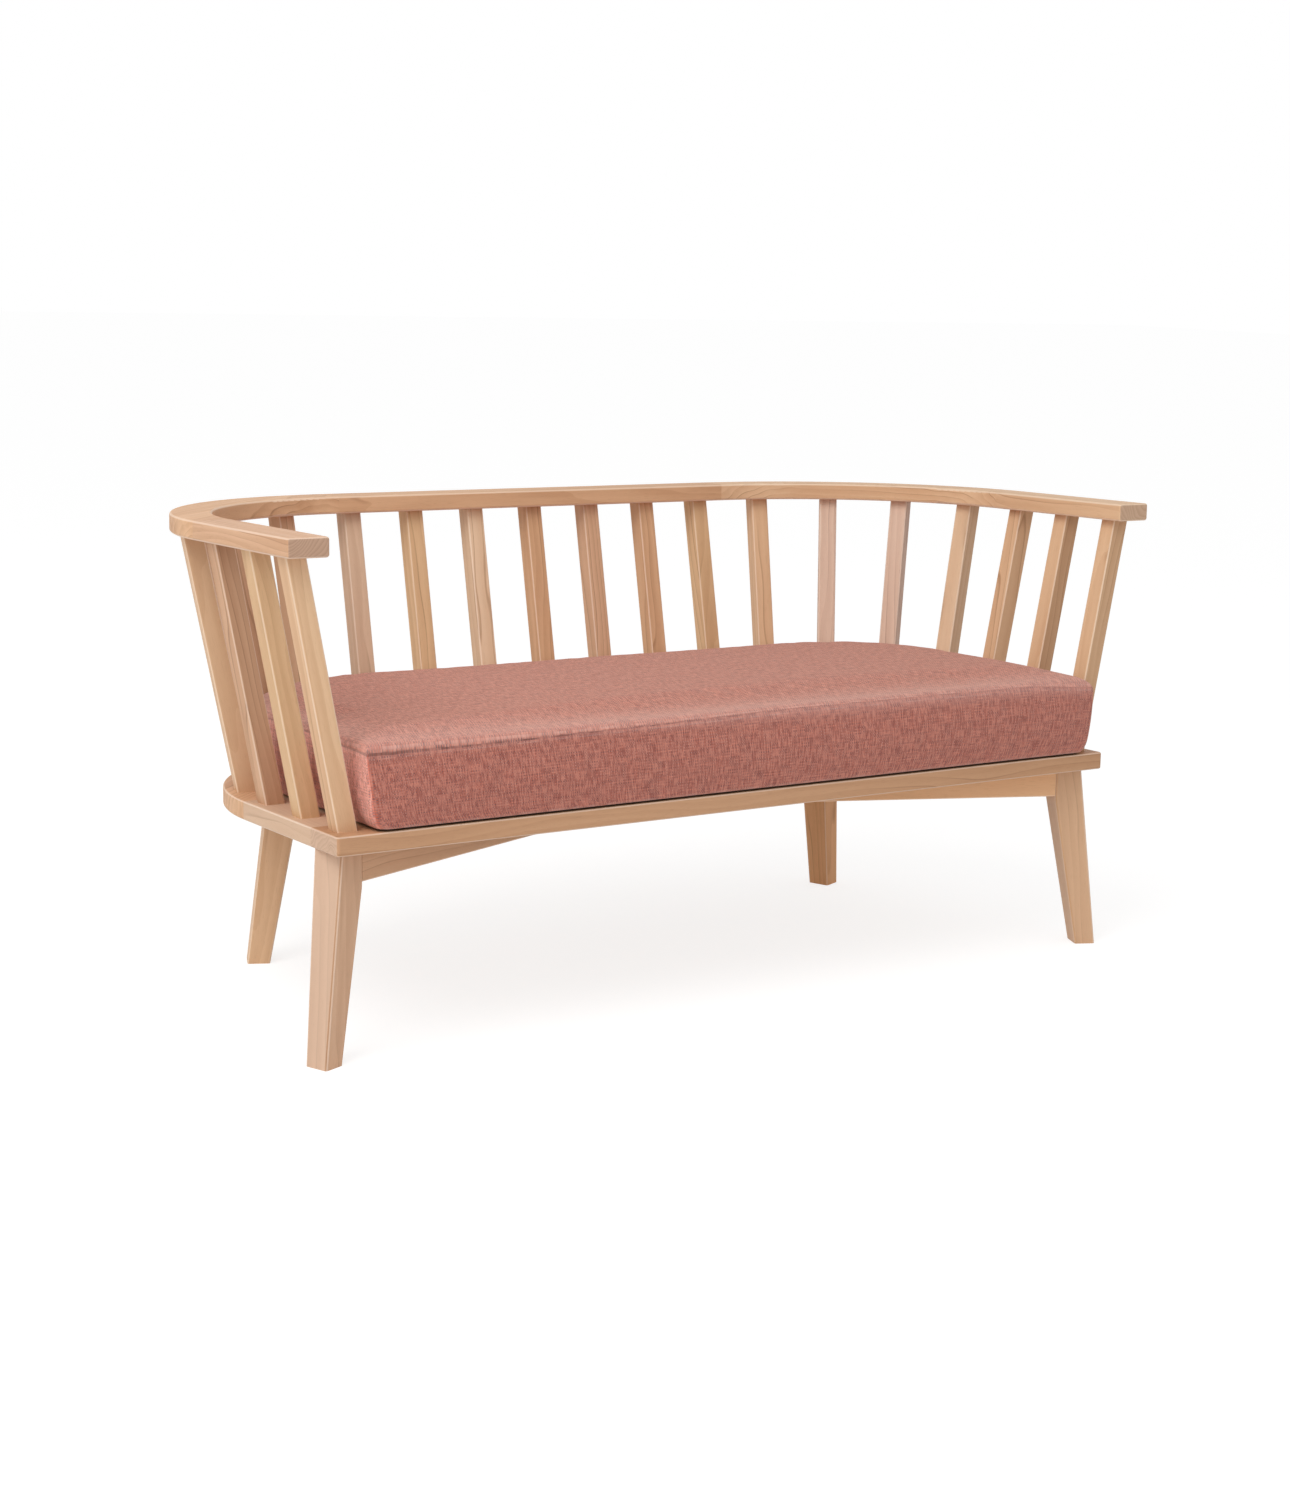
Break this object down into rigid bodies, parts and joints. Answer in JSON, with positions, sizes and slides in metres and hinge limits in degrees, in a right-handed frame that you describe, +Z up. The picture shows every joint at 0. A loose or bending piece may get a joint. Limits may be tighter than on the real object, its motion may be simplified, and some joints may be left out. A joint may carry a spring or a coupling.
{
  "type": "garden sofa",
  "caption": "Wooden garden sofa with a curved top rail on leaning spindles, splayed tapered legs on crossed braces and a loose upholstered seat cushion.",
  "frame": {"origin": "middle of the sofa's outline in plan, on the floor under the four feet", "axes": "+X to the right seen from the front, along the seat; +Y to the back; +Z up"},
  "size_m": [1.5, 0.6886, 0.7132],
  "materials": {
    "rail_wood": "satin",
    "spindle_wood": "satin",
    "seat_wood": "satin",
    "slat_wood": "satin",
    "leg_wood": "satin",
    "brace_wood": "satin",
    "cushion_fabric": "matte",
    "screw_steel": "satin"
  },
  "bodies": {
    "frame": {"brace_front_left_to_back_right": "brace_wood", "brace_front_right_to_back_left": "brace_wood", "leg_back_left": "leg_wood", "leg_back_right": "leg_wood", "leg_front_left": "leg_wood", "leg_front_right": "leg_wood", "rail_arm_left": "rail_wood", "rail_arm_right": "rail_wood", "rail_back": "rail_wood", "rail_corner_left": "rail_wood", "rail_corner_right": "rail_wood", "screw_back_left": "screw_steel", "screw_back_right": "screw_steel", "screw_front_left": "screw_steel", "screw_front_right": "screw_steel", "seat_back": "seat_wood", "seat_corner_left": "seat_wood", "seat_corner_right": "seat_wood", "seat_front": "seat_wood", "seat_side_left": "seat_wood", "seat_side_right": "seat_wood", "slat_01": "slat_wood", "slat_02": "slat_wood", "slat_03": "slat_wood", "slat_04": "slat_wood", "slat_05": "slat_wood", "slat_06": "slat_wood", "slat_07": "slat_wood", "slat_08": "slat_wood", "slat_09": "slat_wood", "slat_10": "slat_wood", "spindle_01": "spindle_wood", "spindle_02": "spindle_wood", "spindle_03": "spindle_wood", "spindle_04": "spindle_wood", "spindle_05": "spindle_wood", "spindle_06": "spindle_wood", "spindle_07": "spindle_wood", "spindle_08": "spindle_wood", "spindle_09": "spindle_wood", "spindle_10": "spindle_wood", "spindle_11": "spindle_wood", "spindle_12": "spindle_wood", "spindle_13": "spindle_wood", "spindle_14": "spindle_wood", "spindle_15": "spindle_wood", "spindle_16": "spindle_wood", "spindle_17": "spindle_wood", "spindle_18": "spindle_wood", "spindle_19": "spindle_wood", "spindle_20": "spindle_wood", "spindle_21": "spindle_wood"},
    "cushion": {"seat_cushion": "cushion_fabric"}
  },
  "joints": [
    {"name": "cushion_lift", "type": "slide", "parent": "frame", "child": "cushion", "axis": [0, 0, 1], "range_m": [0, 0.45]}
  ]
}
